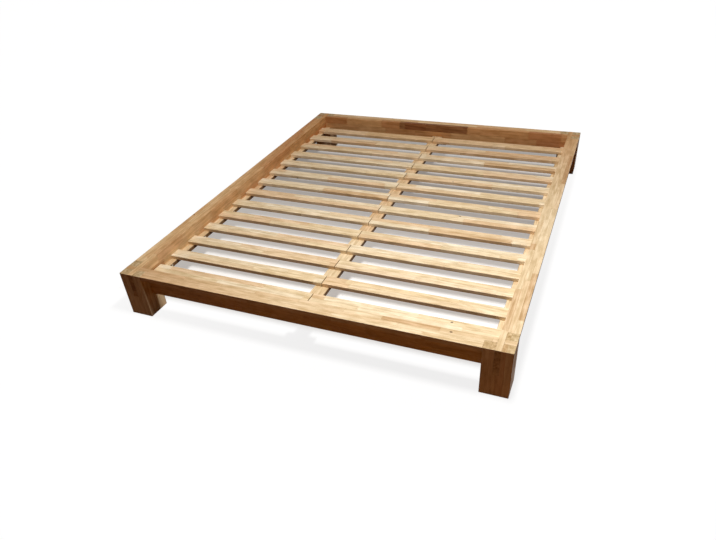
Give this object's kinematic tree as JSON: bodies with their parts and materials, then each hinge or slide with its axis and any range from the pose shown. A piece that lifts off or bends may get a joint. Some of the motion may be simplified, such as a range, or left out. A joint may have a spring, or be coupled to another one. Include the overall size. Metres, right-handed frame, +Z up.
{
  "type": "platform bed frame",
  "caption": "Low double platform bed of finger-jointed hardwood: square slotted legs, lapped boards with edge strips, and slats meeting over a middle beam.",
  "frame": {"origin": "on the floor, under the middle of the bed", "axes": "+X from the left side to the right side, +Y from the front end to the back end along the bed's length, +Z up"},
  "size_m": [1.74, 2.14, 0.22],
  "materials": {
    "frame_wood": "oiled, finger-jointed hardwood lamellas, satin",
    "slat_wood": "planed and lightly oiled hardwood, satin",
    "bearer_wood": "planed and lightly oiled hardwood, satin",
    "screw_steel": "zinc-plated steel, satin"
  },
  "bodies": {
    "root": {"leg_front_left": "frame_wood", "leg_front_right": "frame_wood", "leg_back_left": "frame_wood", "leg_back_right": "frame_wood", "front_board": "frame_wood", "back_board": "frame_wood", "left_board": "frame_wood", "right_board": "frame_wood", "front_edge_strip": "frame_wood", "back_edge_strip": "frame_wood", "left_edge_strip": "frame_wood", "right_edge_strip": "frame_wood", "left_ledger": "bearer_wood", "right_ledger": "bearer_wood", "middle_beam": "bearer_wood", "beam_cleat_front": "bearer_wood", "beam_cleat_back": "bearer_wood", "slat_left_01": "slat_wood", "slat_left_02": "slat_wood", "slat_left_03": "slat_wood", "slat_left_04": "slat_wood", "slat_left_05": "slat_wood", "slat_left_06": "slat_wood", "slat_left_07": "slat_wood", "slat_left_08": "slat_wood", "slat_left_09": "slat_wood", "slat_left_10": "slat_wood", "slat_left_11": "slat_wood", "slat_left_12": "slat_wood", "slat_left_13": "slat_wood", "slat_left_14": "slat_wood", "slat_right_01": "slat_wood", "slat_right_02": "slat_wood", "slat_right_03": "slat_wood", "slat_right_04": "slat_wood", "slat_right_05": "slat_wood", "slat_right_06": "slat_wood", "slat_right_07": "slat_wood", "slat_right_08": "slat_wood", "slat_right_09": "slat_wood", "slat_right_10": "slat_wood", "slat_right_11": "slat_wood", "slat_right_12": "slat_wood", "slat_right_13": "slat_wood", "slat_right_14": "slat_wood", "slat_screws_left": "screw_steel", "slat_screws_right": "screw_steel", "slat_screws_middle": "screw_steel", "ledger_screws_left": "screw_steel", "ledger_screws_right": "screw_steel", "beam_screws": "screw_steel", "cleat_screws": "screw_steel"}
  },
  "joints": []
}
